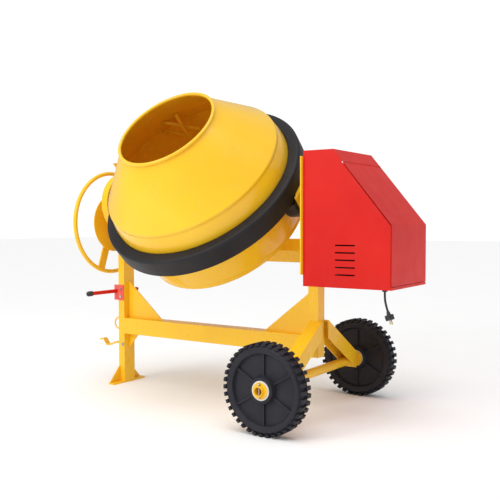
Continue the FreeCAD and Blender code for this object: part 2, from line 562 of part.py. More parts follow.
def gear_case():
    """Round two-part case: a pan on the post's head and a bolted lid on the handwheel side."""
    rim = x_tube(CASE_R, CASE_R - CASE_WALL, POST_OUT + CASE_WALL, POST_IN, FRAME_Y, TILT_Z)
    back = x_rod(CASE_R - CASE_WALL + 1, POST_IN - CASE_WALL, POST_IN, FRAME_Y, TILT_Z)
    boss = x_rod(TRUNNION_R + 10, POST_IN - 2 * CASE_WALL, POST_IN + 10, FRAME_Y, TILT_Z)
    pan = fuse([rim, back, boss]).cut(x_rod(TRUNNION_R + RUN, -900, 0, FRAME_Y, TILT_Z))
    pocket = x_rod(HAND_SHAFT_R + 8, POST_IN - 2 * CASE_WALL, POST_IN, FRAME_Y, HAND_Z)
    pan = fuse([pan, pocket]).cut(x_rod(HAND_SHAFT_R + RUN, -900, POST_IN - 2, FRAME_Y, HAND_Z))
    plunger_hole = rod(PLUNGER_R + RUN, (PLUNGER_X, FRAME_Y, 700), (PLUNGER_X, FRAME_Y, HAND_Z))
    keep("gear_case", pan.cut(plunger_hole))
    lid = x_rod(CASE_R, POST_OUT, POST_OUT + CASE_WALL, FRAME_Y, TILT_Z)
    boss = x_rod(HAND_SHAFT_R + 9, POST_OUT - 34, POST_OUT + 1, FRAME_Y, HAND_Z)
    lid = fuse([lid, boss]).cut(x_rod(HAND_SHAFT_R + RUN, -900, 0, FRAME_Y, HAND_Z))
    bolts, holes = [], []
    for i in range(6):
        angle = math.radians(60 * i + 30)
        y, z = FRAME_Y + (CASE_R - 9) * math.cos(angle), TILT_Z + (CASE_R - 9) * math.sin(angle)
        bolts.append(hex_bolt(3, CASE_WALL, (POST_OUT, y, z), (-1, 0, 0)))
        holes.append(x_rod(3 + SEAT, POST_OUT - 1, POST_OUT + CASE_WALL + 1, y, z))
    keep("gear_case_lid", lid.cut(group(holes)))
    keep("frame_bolts", group(bolts + latch()))


def handwheel():
    """Tube rim on one flat bar across, a plain lock disc behind it, and the shaft."""
    rim = Part.makeTorus(RIM_R - RIM_TUBE_R, RIM_TUBE_R, V(WHEEL_PLANE_X, FRAME_Y, HAND_Z), UNIT_X)
    reach = RIM_R - 2 * RIM_TUBE_R + 3
    bar = box(WHEEL_PLANE_X - SPOKE_T / 2, WHEEL_PLANE_X + SPOKE_T / 2,
              FRAME_Y - SPOKE_W / 2, FRAME_Y + SPOKE_W / 2, HAND_Z - reach, HAND_Z + reach)
    bar = spun(bar, -SPOKE_ANGLE, V(0, FRAME_Y, HAND_Z), UNIT_X)
    bar = bar.cut(rim).cut(x_rod(HAND_SHAFT_R + SEAT, -900, 0, FRAME_Y, HAND_Z))
    keep("handwheel_rim", rim)
    keep("handwheel_spoke", max(bar.Solids, key=lambda s: s.Volume))
    disc = rod(LOCK_DISC_R, (LOCK_DISC_X - LOCK_DISC_T / 2, FRAME_Y, HAND_Z),
               (LOCK_DISC_X + LOCK_DISC_T / 2, FRAME_Y, HAND_Z))
    hub = x_rod(HAND_SHAFT_R + 12, WHEEL_PLANE_X + SPOKE_T / 2, POST_OUT - 34 - SLIP, FRAME_Y, HAND_Z)
    bore = x_rod(HAND_SHAFT_R + SEAT, -900, 0, FRAME_Y, HAND_Z)
    keep("lock_disc", fuse([disc, hub]).cut(bore))
    shaft = x_rod(HAND_SHAFT_R, HAND_SHAFT_X, POST_IN - 3, FRAME_Y, HAND_Z)
    nut = hex_bolt(9, 1.0, (WHEEL_PLANE_X - SPOKE_T / 2 - 1.0, FRAME_Y, HAND_Z), (-1, 0, 0))
    nut = nut.cut(x_rod(HAND_SHAFT_R + SEAT, -900, 0, FRAME_Y, HAND_Z))
    keep("handwheel_shaft", group([shaft, nut]))


# ================= drive =================

def drive_line():
    """Pinion, its shaft through the rear trunnion, and the large pulley in the house."""
    x0, x1 = RING_R - RING_FACE / 2, RING_R + RING_FACE / 2
    outline = [(x0, r * math.cos(a), r * math.sin(a))
               for r, a in gear_outline(PINION_TEETH, DRIVE_MODULE, DRIVE_PLAY, math.pi / 2)]
    pinion = prism(outline, (x1 - x0, 0, 0)).cut(x_rod(SHAFT_R + SEAT, 0, 900, 0, 0))
    keep("drive_pinion", tilted(pinion))
    keep("pinion_shaft", tilted(x_rod(SHAFT_R, x0 - 4, PULLEY_X + PULLEY_W + 8, 0, 0)))
    keep("large_pulley", pulley(BIG_PULLEY_R, SHAFT_R, FRAME_Y, TILT_Z))
    keep("small_pulley", pulley(SMALL_PULLEY_R, MOTOR_SHAFT_R, MOTOR_Y, MOTOR_Z))


def pulley(radius, bore, y, z):
    """V-belt pulley with a plain web, on a line along X."""
    w, floor = PULLEY_W, radius - BELT_T - 3
    lip = 3.5 + (radius - floor) * 0.32
    shape = turned([(bore + SEAT, 0), (radius, 0), (radius, 3.5), (floor, lip), (floor, w - lip),
                    (radius, w - 3.5), (radius, w), (bore + SEAT, w)])
    shape.rotate(V(), UNIT_Y, 90)
    shape.translate(V(PULLEY_X, y, z))
    return shape


def belt():
    """Closed V-belt round both pulleys, with a hair of clearance in the grooves."""
    inner_big = BIG_PULLEY_R - BELT_DEPTH
    inner_small = SMALL_PULLEY_R - BELT_DEPTH
    x0 = PULLEY_X + PULLEY_W / 2 - BELT_W / 2 + 1.6
    width = BELT_W - 3.2
    outer = belt_loop(inner_big + BELT_T, inner_small + BELT_T, x0, width)
    inner = belt_loop(inner_big, inner_small, x0 - 1, width + 2)
    keep("v_belt", outer.cut(inner))


def belt_loop(big, small, x0, width):
    """Filled outline of a belt round two pulleys: two discs and the common tangents."""
    dy, dz = MOTOR_Y - FRAME_Y, MOTOR_Z - TILT_Z
    centre = math.hypot(dy, dz)
    along = math.atan2(dz, dy)
    lean = math.acos((big - small) / centre)
    corners = []
    for angle in (along + lean, along - lean):
        corners.append((angle, big, FRAME_Y, TILT_Z))
    for angle in (along - lean, along + lean):
        corners.append((angle, small, MOTOR_Y, MOTOR_Z))
    points = [(x0, y + r * math.cos(a), z + r * math.sin(a)) for a, r, y, z in corners]
    web = prism(points, (width, 0, 0))
    discs = [x_rod(big, x0, x0 + width, FRAME_Y, TILT_Z),
             x_rod(small, x0, x0 + width, MOTOR_Y, MOTOR_Z)]
    return fuse([web] + discs)


def bearing_block():
    """Bearing block on the rear post's head, with its bolts to the motor plate."""
    y0, y1 = FRAME_Y - REAR_D / 2, FRAME_Y + REAR_D / 2
    low = TILT_Z - BLOCK_DROP
    base = box(REAR_IN, REAR_OUT, y0, y1, low, TILT_Z)
    head = x_rod(REAR_D / 2 + 14, REAR_IN, REAR_OUT, FRAME_Y, TILT_Z)
    bore = x_rod(TRUNNION_R + RUN, 0, 900, FRAME_Y, TILT_Z)
    head = head.common(box(REAR_IN, REAR_OUT, -200, 200, low, TILT_Z + 200))
    keep("rear_bearing_block", fuse([base, head]).cut(bore))


def motor():
    """Motor on a bracket from the motor plate, its shaft and pulley towards the posts."""
    hole = x_rod(MOTOR_SHAFT_R + 10, PLATE_X - 1, PLATE_X + PLATE_T + 1, MOTOR_Y, MOTOR_Z)
    trunnion_hole = x_rod(TRUNNION_R + 6, PLATE_X - 1, PLATE_X + PLATE_T + 1, FRAME_Y, TILT_Z)
    plate = box(PLATE_X, PLATE_X + PLATE_T, PLATE_FRONT, PLATE_REAR, PLATE_LOW, PLATE_TOP)
    keep("motor_plate", plate.cut(trunnion_hole).cut(hole))
    start = PULLEY_X + PULLEY_W + 12
    shell = x_tube(MOTOR_R, MOTOR_R - 6, start + 12, start + MOTOR_L, MOTOR_Y, MOTOR_Z)
    fin = box(start + 16, start + MOTOR_L - 10, MOTOR_Y - 2, MOTOR_Y + 2,
              MOTOR_Z + MOTOR_R - 2, MOTOR_Z + MOTOR_R + 8)
    fins = [spun(fin, a, V(0, MOTOR_Y, MOTOR_Z), UNIT_X) for a in range(-100, 101, 20)]
    face = x_tube(MOTOR_R, MOTOR_SHAFT_R + RUN, start, start + 12, MOTOR_Y, MOTOR_Z)
    rear = x_tube(MOTOR_R, MOTOR_SHAFT_R + RUN, start + MOTOR_L, start + MOTOR_L + 12, MOTOR_Y, MOTOR_Z)
    casing = fuse([shell, face, rear] + fins)
    shaft = x_rod(MOTOR_SHAFT_R, PULLEY_X - 4, start + MOTOR_L + 10, MOTOR_Y, MOTOR_Z)
    rotor = x_tube(MOTOR_R - 9, MOTOR_SHAFT_R + SEAT, start + 40, start + MOTOR_L - 40, MOTOR_Y, MOTOR_Z)
    keep("motor_rotor", group([shaft, rotor]))
    shelf_z = MOTOR_Z - MOTOR_R - 4
    shelf = box(PLATE_X + PLATE_T, start + MOTOR_L, MOTOR_Y - 70, MOTOR_Y + 70, shelf_z - 5, shelf_z)
    feet = [box(x, x + 40, MOTOR_Y - 50, MOTOR_Y + 50, shelf_z, MOTOR_Z - MOTOR_R + 14).cut(
            x_rod(MOTOR_R + SEAT, x - 1, x + 41, MOTOR_Y, MOTOR_Z))
            for x in (start + 20, start + MOTOR_L - 60)]
    keep("motor_shelf", shelf)
    keep("motor_casing", group([casing] + [max(f.Solids, key=lambda s: s.Volume) for f in feet]))


# ================= motor house =================

def hinge_point():
    """Where the door's hinge lies on the sloping face."""
    x = RIDGE_X + (HOUSE_END_X - RIDGE_X) * HINGE_SHARE
    z = HOUSE_TOP + (SLOPE_LOW_Z - HOUSE_TOP) * HINGE_SHARE
    return x, z


def house():
    """Folded sheet cover, and the door that forms the lower slope and the end."""
    hx, hz = hinge_point()

    def outline(y, inset, open_side):
        return [(HOUSE_X - open_side, y, HOUSE_LOW + inset), (HOUSE_X - open_side, y, HOUSE_TOP - inset),
                (RIDGE_X - inset * 0.5, y, HOUSE_TOP - inset),
                (HOUSE_END_X - inset, y, SLOPE_LOW_Z - inset * 0.5),
                (HOUSE_END_X - inset, y, HOUSE_LOW + inset)]

    outer = prism(outline(HOUSE_FRONT, 0, 0), (0, HOUSE_REAR - HOUSE_FRONT, 0))
    inner = prism(outline(HOUSE_FRONT + SHEET, SHEET, 10), (0, HOUSE_REAR - HOUSE_FRONT - 2 * SHEET, 0))
    shell = outer.cut(inner)
    dx, dz = HOUSE_END_X - hx, SLOPE_LOW_Z - hz
    length = math.hypot(dx, dz)
    ux, uz = dx / length, dz / length
    edge = HINGE_R + SLIP
    inner_x = HOUSE_END_X - SHEET - 2
    y, far = HOUSE_FRONT - 1, 200
    lip_x, lip_z = hx - ux * edge, hz - uz * edge
    doorway = prism([(lip_x - uz * 5, y, lip_z + ux * 5), (HOUSE_END_X + far, y, hz + far),
                     (HOUSE_END_X + far, y, HOUSE_LOW + 12), (inner_x, y, HOUSE_LOW + 12),
                     (inner_x, y, SLOPE_LOW_Z - 4), (lip_x + uz * 5, y, lip_z - ux * 5)],
                    (0, HOUSE_REAR - HOUSE_FRONT + 2, 0))
    body = shell.cut(doorway)
    rows = [LOUVRE_Z + i * LOUVRE_PITCH for i in range(LOUVRE_COUNT)]
    louvres = [box(LOUVRE_X, LOUVRE_X + LOUVRE_L, HOUSE_FRONT - 1, HOUSE_FRONT + SHEET + 1, z, z + LOUVRE_SLOT)
               for z in rows]
    gland_hole = Part.makeCylinder(GLAND_R * 0.7 + SEAT, 20, V(CORD_X, CORD_Y, HOUSE_LOW - 10), UNIT_Z)
    keep("house_cover", body.cut(group(louvres)).cut(gland_hole))
    start_x, start_z = hx + ux * edge, hz + uz * edge
    y, low, inner_x = HOUSE_FRONT, HOUSE_LOW + 14, HOUSE_END_X - SHEET
    door = prism([(start_x, y, start_z), (HOUSE_END_X, y, SLOPE_LOW_Z), (HOUSE_END_X, y, low),
                  (inner_x, y, low), (inner_x, y, SLOPE_LOW_Z - SHEET * 0.5),
                  (start_x + uz * SHEET, y, start_z - ux * SHEET)],
                 (0, HOUSE_REAR - HOUSE_FRONT, 0))
    keep("house_door", door)
    keep("door_hinge", y_rod(HINGE_R, HOUSE_FRONT + 3, HOUSE_REAR - 3, hx, hz))


def gland_and_cord():
    """Cable gland through the house floor, the short lead and its plug."""
    top = HOUSE_LOW
    neck = Part.makeCylinder(GLAND_R * 0.7, 12, V(CORD_X, CORD_Y, top - 2), UNIT_Z)
    nut = Part.makeCylinder(GLAND_R, 9, V(CORD_X, CORD_Y, top - 9), UNIT_Z)
    keep("cable_gland", neck.fuse(nut).removeSplitter())
    points = [V(CORD_X + x, CORD_Y + y, top + z - 3) for x, y, z in CORD_POINTS]
    path, length, radii = corded(points)
    direction = points[1] - points[0]
    circle = Part.Wire(Part.makeCircle(CORD_D / 2, points[0], direction))
    cord = path.makePipeShell([circle], True, False)
    print("cord arc radii", [round(r, 1) for r in radii])
    section = math.pi * CORD_D ** 2 / 4
    print("cord volume", round(cord.Volume, 1), "section times length", round(section * length, 1))
    keep("mains_lead", cord)
    end, way = points[-1], (points[-1] - points[-2]).normalize()
    boot = Part.makeCone(CORD_D / 2 + 1, CORD_D / 2 + 5, 18, end, way)
    body = Part.makeCylinder(18.5, 20, end + way * 18, way)
    across = way.cross(UNIT_X).normalize()
    pins = [Part.makeCylinder(2.4, 19, end + way * 38 + across * s * 9.5, way) for s in (-1, 1)]
    keep("mains_plug", boot.fuse(body).removeSplitter())
    keep("plug_pins", group(pins))


def corded(points):
    """Straight runs joined by tangent arcs, each as large as its two runs allow."""
    edges, radii, length = [], [], 0.0
    last = points[0]
    for i in range(1, len(points) - 1):
        before, here, after = points[i - 1], points[i], points[i + 1]
        a, b = (before - here), (after - here)
        run_a, run_b = a.Length, b.Length
        a.normalize()
        b.normalize()
        turn = math.pi - a.getAngle(b)
        radius = 0.45 * min(run_a, run_b) / math.tan(turn / 2)
        cut = radius * math.tan(turn / 2)
        p, r = here + a * cut, here + b * cut
        middle = here + (a + b).normalize() * (radius / math.cos(turn / 2) - radius)
        edges.append(Part.LineSegment(last, p).toShape())
        edges.append(Part.Arc(p, middle, r).toShape())
        length += (p - last).Length + radius * turn
        radii.append(radius)
        last = r
    edges.append(Part.LineSegment(last, points[-1]).toShape())
    length += (points[-1] - last).Length
    return Part.Wire(edges), length, radii


# ================= controls =================

def latch():
    """Red pull rod through the post's flanges, its bracket plate and two bolts."""
    y0 = FRAME_Y - POST_D / 2
    plate = box(LATCH_X - 15, POST_IN - 1, y0 - 4, y0, LATCH_Z - 48, LATCH_Z + 34)
    sleeve = y_rod(SLEEVE_R, y0 - 2, y0 + POST_D, LATCH_X, LATCH_Z)
    plate = fuse([plate, sleeve]).cut(y_rod(LATCH_R + RUN, y0 - 10, 300, LATCH_X, LATCH_Z))
    bolts = []
    for z in LATCH_BOLT_Z:
        plate = plate.cut(y_rod(4 + SEAT, y0 - 10, y0 + 10, LATCH_BOLT_X, z))
        bolts.append(hex_bolt(4, 4 + POST_WALL, (LATCH_BOLT_X, y0 - 4, z), (0, -1, 0)))
    keep("latch_bracket", plate)
    keep("latch_rod", y_rod(LATCH_R, LATCH_FRONT, LATCH_REAR, LATCH_X, LATCH_Z))
    knob = Part.makeCylinder(13.5, 22, V(LATCH_X, LATCH_FRONT, LATCH_Z), V(0, -1, 0))
    tip = Part.makeSphere(13.5, V(LATCH_X, LATCH_FRONT - 22, LATCH_Z))
    keep("latch_knob", knob.fuse(tip).removeSplitter())
    return bolts


def pedal():
    """Lock pedal on a pin across the channel, and the plunger that stands on it."""
    y0, y1 = FRAME_Y - PEDAL_W / 2, FRAME_Y + PEDAL_W / 2
    x, z, t = PEDAL_PIVOT_X, PEDAL_Z, PEDAL_T
    line = [(x, z), (x - 84, z), (x - 134, z - 20), (x - 150, z - 17), (x - 172, z + 12), (x - 200, z + 7)]
    upper = [(px, y0, pz + t / 2) for px, pz in line]
    lower = [(px, y0, pz - t / 2) for px, pz in reversed(line)]
    arm = prism(upper + lower, (0, y1 - y0, 0))
    boss = y_rod(PEDAL_BOSS_R, y0, y1, x, z)
    arm = fuse([arm, boss]).cut(y_rod(PEDAL_PIN_R + RUN, -300, 300, x, z))
    keep("lock_pedal", arm)
    inner0, inner1 = FRAME_Y - POST_D / 2, FRAME_Y + POST_D / 2
    pin = y_rod(PEDAL_PIN_R, inner0 - 1, inner1 + 1, x, z)
    heads = [y_rod(8, inner0 - 5, inner0, x, z), y_rod(8, inner1, inner1 + 5, x, z)]
    keep("pedal_pin", fuse([pin] + heads))
    low = z + t / 2 + PLUNGER_R + SLIP
    top = HAND_Z - TILT_MODULE * (HAND_TEETH / 2 + 0.9) - PLUNGER_GAP
    foot_ball = Part.makeSphere(PLUNGER_R, V(PLUNGER_X, FRAME_Y, low))
    stem = rod(PLUNGER_R, (PLUNGER_X, FRAME_Y, low), (PLUNGER_X, FRAME_Y, top))
    keep("lock_plunger", fuse([stem, foot_ball]))


def build():
    front_post()
    beams()
    rear_post()
    keep("axle_struts", group([strut(-1), strut(1)]))
    axle()
    wheel(-1, "wheel_front")
    wheel(1, "wheel_rear")
    drum()
    spindle()
    blades()
    yoke()
    spindle_bearing()
    guard()
    pinion_cover()
    trunnions()
    tilting_gears()
    gear_case()
    handwheel()
    drive_line()
    belt()
    bearing_block()
    motor()
    house()
    gland_and_cord()
    pedal()


build()
whole = Part.makeCompound(list(PARTS.values())).BoundBox
SHIFT = V(-(whole.XMin + whole.XMax) / 2, -(whole.YMin + whole.YMax) / 2, -whole.ZMin)
os.makedirs("parts", exist_ok=True)
for name, shape in PARTS.items():
    shape.translate(SHIFT)
    if not shape.isValid():
        print("not valid:", name)
    shape.exportStep("parts/" + name + ".step")
print("nodes", len(PARTS), "shift", SHIFT, "size", whole.XLength, whole.YLength, whole.ZLength)
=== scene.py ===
import json
import math

import bpy
from mathutils import Matrix, Vector


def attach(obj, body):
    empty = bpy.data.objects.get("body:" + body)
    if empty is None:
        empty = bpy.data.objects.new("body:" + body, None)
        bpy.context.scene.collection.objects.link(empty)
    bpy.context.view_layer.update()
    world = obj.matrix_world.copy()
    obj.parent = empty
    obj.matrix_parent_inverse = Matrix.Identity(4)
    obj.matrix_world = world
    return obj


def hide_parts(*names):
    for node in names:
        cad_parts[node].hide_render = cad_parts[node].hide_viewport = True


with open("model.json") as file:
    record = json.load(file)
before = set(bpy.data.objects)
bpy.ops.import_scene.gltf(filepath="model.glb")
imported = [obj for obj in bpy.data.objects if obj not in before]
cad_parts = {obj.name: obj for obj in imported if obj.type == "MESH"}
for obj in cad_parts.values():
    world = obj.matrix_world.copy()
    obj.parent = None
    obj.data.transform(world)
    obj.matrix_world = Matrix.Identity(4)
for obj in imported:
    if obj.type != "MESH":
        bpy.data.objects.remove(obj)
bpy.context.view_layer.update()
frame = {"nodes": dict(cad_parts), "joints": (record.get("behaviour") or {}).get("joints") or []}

nodes = frame["nodes"]
joint_place = {joint["name"]: Vector(joint["pos_m"]) for joint in frame["joints"] if "pos_m" in joint}
bpy.ops.object.select_all(action="DESELECT")

# ---------------------------------------------------------------- camera
# A 53 mm lens at chest height, in front of the mixer and a little towards the motor end.
axle_middle = (joint_place["front_wheel_spin"] + joint_place["rear_wheel_spin"]) / 2
LENS, SENSOR = 52.91, 36.0
CAMERA_STAND = Vector((1.5975, -2.9198, 0.6767))     # from the middle of the axle
LOOK_DOWN, LEAN, TURN = 2.184, 0.086, 33.94          # degrees
camera_data = bpy.data.cameras.new("camera")
camera_data.lens = LENS
camera_data.sensor_width = SENSOR
camera = bpy.data.objects.new("camera", camera_data)
camera.location = axle_middle + CAMERA_STAND
camera.rotation_euler = (math.radians(90 - LOOK_DOWN), math.radians(LEAN), math.radians(TURN))
bpy.context.scene.collection.objects.link(camera)
bpy.context.scene.camera = camera

# ---------------------------------------------------------------- mains lead
# A short rubber lead of 9 mm that hangs from a gland in the floor of the motor house to a moulded
# plug with two round pins. It is one smooth curve that drops straight down and then leans away.
CORD_DIAMETER, CORD_LENGTH = 0.009, 0.0804
CORD_ROUTE = [(0.8575, -0.10435, 0.581), (0.8575, -0.10435, 0.555), (0.8625, -0.10635, 0.529),
              (0.8725, -0.10935, 0.503)]


def new_group(name, inputs, outputs):
    """An empty node group with its float inputs (name, default) and its outputs (name, kind)."""
    group = bpy.data.node_groups.new(name, "ShaderNodeTree")
    for label, value in inputs:
        socket = group.interface.new_socket(name=label, in_out="INPUT", socket_type="NodeSocketFloat")
        socket.default_value = value
    for label, kind in outputs:
        group.interface.new_socket(name=label, in_out="OUTPUT", socket_type=kind)
    return group, group.nodes.new("NodeGroupInput"), group.nodes.new("NodeGroupOutput")


def noise(tree, scale, detail):
    """Noise on the piece's own coordinates, in metres."""
    place = tree.nodes.new("ShaderNodeTexCoord")
    texture = tree.nodes.new("ShaderNodeTexNoise")
    texture.inputs["Scale"].default_value = scale
    texture.inputs["Detail"].default_value = detail
    tree.links.new(place.outputs["Object"], texture.inputs["Vector"])
    return texture


def spread(tree, value, low, high, to_low, to_high):
    """The part of a value between low and high, stretched to another range."""
    node = tree.nodes.new("ShaderNodeMapRange")
    for label, number in (("From Min", low), ("From Max", high), ("To Min", to_low), ("To Max", to_high)):
        node.inputs[label].default_value = number
    tree.links.new(value, node.inputs["Value"])
    return node.outputs["Result"]


def blend_colour(tree, factor, first, second):
    """Two colours, each three numbers or a socket, mixed by a socket."""
    mix = tree.nodes.new("ShaderNodeMix")
    mix.data_type = "RGBA"
    tree.links.new(factor, mix.inputs["Factor"])
    for socket, value in ((mix.inputs["A"], first), (mix.inputs["B"], second)):
        if isinstance(value, tuple):
            socket.default_value = (*value, 1.0)
        else:
            tree.links.new(value, socket)
    return mix.outputs["Result"]


# Handling marks: slow clouds, fine grain and patches of dust, one mask each.
surface, surface_in, surface_out = new_group(
    "surface_marks", [("Cloud Scale", 3.0), ("Grain Scale", 400.0), ("Dust Scale", 14.0)],
    [("Cloud", "NodeSocketFloat"), ("Grain", "NodeSocketFloat"), ("Dust", "NodeSocketFloat")])
for mark, detail in (("Cloud", 2.0), ("Grain", 2.0), ("Dust", 6.0)):
    texture = noise(surface, 1.0, detail)
    surface.links.new(surface_in.outputs[mark + " Scale"], texture.inputs["Scale"])
    surface.links.new(texture.outputs["Fac"], surface_out.inputs[mark])


def finish(name, colour, shade, roughness, grain_scale, grain_depth, edge=0.0015, metallic=0.0, coat=0.0,
           gloss=0.5, dust=(0.30, 0.27, 0.22), dust_amount=0.10, dulling=0.10):
    """A surface: two close colours in clouds, dust in patches, grain in the relief, rounded edges."""
    made = bpy.data.materials.new(name)
    made.use_nodes = True
    tree = made.node_tree
    shader = tree.nodes["Principled BSDF"]
    shader.inputs["Metallic"].default_value = metallic
    shader.inputs["Coat Weight"].default_value = coat
    shader.inputs["Coat Roughness"].default_value = 0.06
    shader.inputs["Specular IOR Level"].default_value = gloss
    marks = tree.nodes.new("ShaderNodeGroup")
    marks.node_tree = surface
    marks.inputs["Grain Scale"].default_value = grain_scale
    clouds = spread(tree, marks.outputs["Cloud"], 0.35, 0.65, 0.0, 1.0)
    patches = spread(tree, marks.outputs["Dust"], 0.48, 0.72, 0.0, dust_amount)
    tree.links.new(blend_colour(tree, patches, blend_colour(tree, clouds, colour, shade), dust),
                   shader.inputs["Base Color"])
    tree.links.new(spread(tree, marks.outputs["Dust"], 0.35, 0.7, roughness, roughness + dulling),
                   shader.inputs["Roughness"])
    rounded = tree.nodes.new("ShaderNodeBevel")
    rounded.inputs["Radius"].default_value = edge
    relief = tree.nodes.new("ShaderNodeBump")
    relief.inputs["Strength"].default_value = 0.5
    relief.inputs["Distance"].default_value = grain_depth
    tree.links.new(marks.outputs["Grain"], relief.inputs["Height"])
    tree.links.new(rounded.outputs["Normal"], relief.inputs["Normal"])
    tree.links.new(relief.outputs["Normal"], shader.inputs["Normal"])
    return made


TOUCHING = 0.00001       # points nearer than this are one point
FOLD_ANGLE = 25          # degrees, past which shading breaks


def coat_nodes(material, slot, *names):
    """Give CAD pieces their finish, and smooth shading that breaks at their folds."""
    for name in names:
        piece = nodes[name]
        piece.data.materials.clear()
        piece.data.materials.append(material)
        piece.data.polygons.foreach_set("use_smooth", [True] * len(piece.data.polygons))
        weld = piece.modifiers.new("weld", "WELD")
        weld.merge_threshold = TOUCHING
        fold = piece.modifiers.new("folds", "EDGE_SPLIT")
        fold.split_angle = math.radians(FOLD_ANGLE)


def settle(piece, material, slot, body, *replaced):
    """Finish a modelled piece: its material, its body, and the CAD nodes it stands for. The slot argument
    is not used.
    """
    piece.data.materials.clear()
    piece.data.materials.append(material)
    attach(piece, body)
    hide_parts(*replaced)
    bpy.ops.object.select_all(action="DESELECT")


black_rubber = finish("black_rubber", (0.016, 0.016, 0.018), (0.024, 0.024, 0.026), 0.45, 900.0, 0.0002)
brass = finish("brass", (0.72, 0.55, 0.22), (0.62, 0.45, 0.18), 0.28, 900.0, 0.0001, metallic=1.0)

lead_curve = bpy.data.curves.new("mains_lead_curve", "CURVE")
lead_curve.dimensions = "3D"
lead_curve.bevel_depth = CORD_DIAMETER / 2
lead_curve.bevel_resolution = 5
lead_curve.resolution_u = 16
lead_curve.use_fill_caps = True
lead_line = lead_curve.splines.new("NURBS")
lead_line.points.add(len(CORD_ROUTE) - 1)
for point, place in zip(lead_line.points, CORD_ROUTE):
    point.co = (*place, 1.0)
lead_line.order_u = 3
lead_line.use_endpoint_u = True
mains_lead = bpy.data.objects.new("mains_lead_cord", lead_curve)
bpy.context.scene.collection.objects.link(mains_lead)
settle(mains_lead, black_rubber, "black_plastic", "frame", "mains_lead")
coat_nodes(black_rubber, "black_plastic", "cable_gland", "mains_plug")
coat_nodes(brass, "brass", "plug_pins")

# ---------------------------------------------------------------- frame
# Two posts, a box beam and gussets of folded and flat steel, welded and sprayed gloss yellow.
# The front post is a channel on a foot plate, the rear one stands on the axle's two struts.
YELLOW, YELLOW_SHADE = (1.0, 0.60, 0.022), (0.97, 0.55, 0.016)
yellow_paint = finish("yellow_paint", YELLOW, YELLOW_SHADE, 0.26, 420.0, 0.0004, coat=0.15, gloss=0.35,
                      dust_amount=0.04)
zinc = finish("zinc_plate", (0.62, 0.62, 0.60), (0.50, 0.50, 0.47), 0.30, 700.0, 0.0001, metallic=1.0)
coat_nodes(yellow_paint, "yellow_paint", "front_post", "foot_plate", "main_beam", "frame_gussets",
           "rear_post", "axle_struts")
coat_nodes(zinc, "zinc", "frame_bolts")

# ---------------------------------------------------------------- axle and wheels
# A painted tube with welded collars, and solid moulded wheels with lugs and six ribs. Each turns on
# two white flanged bushes, held by a washer and a split pin.
tyre_rubber = finish("tyre_rubber", (0.012, 0.012, 0.018), (0.018, 0.018, 0.026), 0.55, 500.0, 0.0005,
                     edge=0.003, gloss=0.3, dust_amount=0.04)
white_plastic = finish("white_plastic", (0.80, 0.80, 0.78), (0.72, 0.72, 0.70), 0.35, 900.0, 0.0002)
coat_nodes(yellow_paint, "yellow_paint", "axle_tube", "axle_collars")
coat_nodes(zinc, "zinc", "split_pins")
coat_nodes(tyre_rubber, "tyre", "wheel_front", "wheel_rear")
coat_nodes(white_plastic, "white_plastic", "wheel_front_bushes", "wheel_rear_bushes")

# ---------------------------------------------------------------- yoke
# A channel across behind the drum with a thick flat arm welded to each end. The front arm carries a
# horn that stops the tilt, and both turn on round trunnions in the posts.
turned_steel = finish("turned_steel", (0.50, 0.50, 0.50), (0.42, 0.42, 0.42), 0.32, 900.0, 0.0001,
                      metallic=1.0)
cast_iron = finish("cast_iron", (0.13, 0.125, 0.12), (0.10, 0.09, 0.085), 0.50, 350.0, 0.0007, metallic=1.0)
coat_nodes(yellow_paint, "yellow_paint", "yoke_beam", "yoke_arm_front", "yoke_arm_rear")
coat_nodes(turned_steel, "steel", "front_trunnion", "rear_trunnion", "drum_spindle")
coat_nodes(cast_iron, "cast_iron", "spindle_bearing")

# ---------------------------------------------------------------- drum
# Two spun steel shells of 3.5 mm. The wall is widest under the guard. The cone laps over the bowl in
# a weld line and ends in a rolled bead round the mouth.
drum_axis = Vector(next(joint["axis"] for joint in frame["joints"] if joint["name"] == "drum_spin"))
drum_tilt = math.atan2(-drum_axis.y, drum_axis.z)
drum_place = Matrix.Translation(joint_place["drum_spin"]) @ Matrix.Rotation(drum_tilt, 4, "X")
ROUND = math.radians(360)
SMOOTH_ANGLE = 28        # degrees
DRUM_STEPS = 144


def arc(radius_place, height_place, size, start, end, count):
    """Corners on part of a circle in the (radius, height) plane. Angles in degrees."""
    return [(radius_place + size * math.cos(math.radians(start + (end - start) * i / count)),
             height_place + size * math.sin(math.radians(start + (end - start) * i / count)))
            for i in range(count + 1)]


def spun_piece(name, outline, steps, place, start=0.0, sweep=ROUND):
    """Turn a closed outline of (radius, height) corners in millimetres into a piece about an axis."""
    bpy.ops.object.select_all(action="DESELECT")
    bpy.ops.mesh.primitive_circle_add(vertices=len(outline), fill_type="NOTHING")
    piece = bpy.context.object
    piece.name = name
    for vertex, (radius, height) in zip(piece.data.vertices, outline):
        vertex.co = (radius / 1000 * math.cos(start), radius / 1000 * math.sin(start), height / 1000)
    bpy.ops.object.mode_set(mode="EDIT")
    bpy.ops.mesh.select_all(action="SELECT")
    bpy.ops.mesh.spin(steps=steps, angle=sweep, center=(0, 0, 0), axis=(0, 0, 1))
    bpy.ops.mesh.select_all(action="SELECT")
    bpy.ops.mesh.remove_doubles(threshold=TOUCHING)
    if sweep < ROUND:
        bpy.ops.mesh.select_all(action="DESELECT")
        bpy.ops.mesh.select_non_manifold()
        bpy.ops.mesh.fill_holes(sides=0)
        bpy.ops.mesh.select_all(action="SELECT")
    bpy.ops.mesh.normals_make_consistent(inside=False)
    bpy.ops.object.mode_set(mode="OBJECT")
    piece.data.transform(place)
    bpy.ops.object.shade_smooth_by_angle(angle=math.radians(SMOOTH_ANGLE))
    return piece


